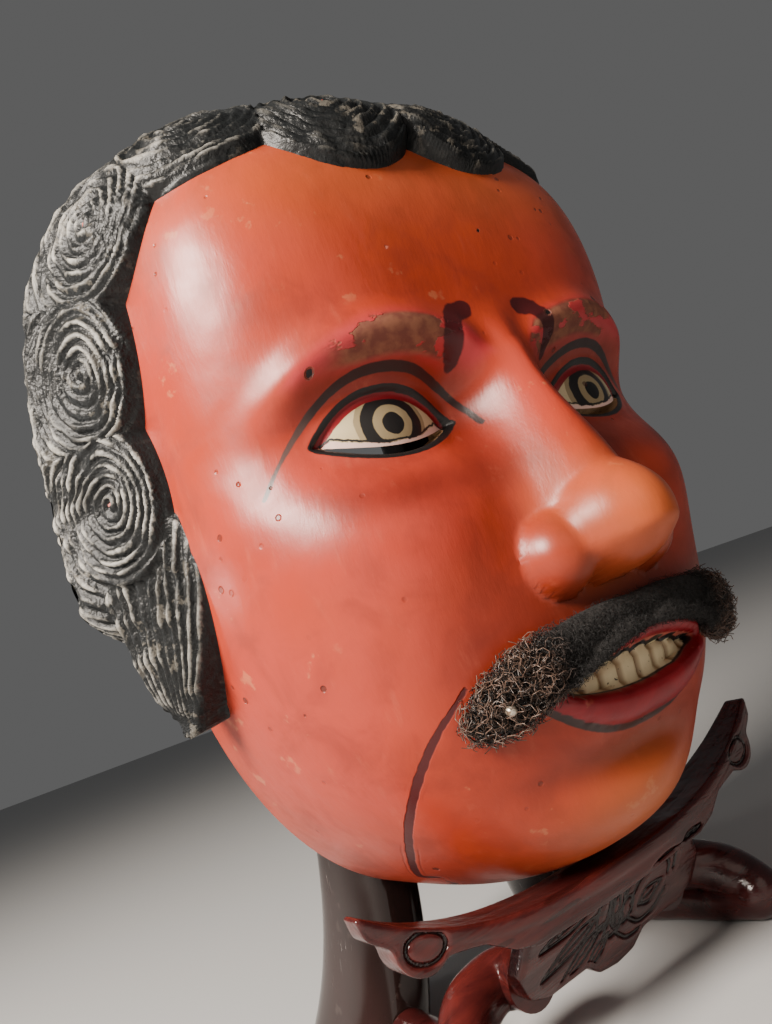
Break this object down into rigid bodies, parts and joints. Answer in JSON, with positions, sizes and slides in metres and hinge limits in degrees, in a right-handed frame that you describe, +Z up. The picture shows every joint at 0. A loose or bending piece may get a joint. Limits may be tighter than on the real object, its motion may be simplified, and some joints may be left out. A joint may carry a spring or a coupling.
{
  "type": "topeng mask",
  "caption": "Carved and painted wooden dance mask with ringed curls, sight slits, toothed lips and a hair moustache, resting on a carved rosewood stand.",
  "frame": {"origin": "on the table, under the middle of the whole part's box", "axes": "+X to the right of a viewer who faces the mask, +Y from the face to the back, +Z up"},
  "size_m": [0.1654, 0.1448, 0.2281],
  "materials": {
    "painted_wood": "semi-gloss terracotta paint, hair painted black and worn grey on its ridges",
    "hair_fibre": "black curly hair",
    "carved_rosewood": "semi-gloss",
    "dark_lacquer": "polished"
  },
  "bodies": {
    "root": {"mask": "painted_wood", "moustache": "hair_fibre", "stand_cradle": "carved_rosewood", "stand_leg_left": "carved_rosewood", "stand_leg_right": "carved_rosewood", "stand_post": "dark_lacquer"}
  },
  "joints": []
}
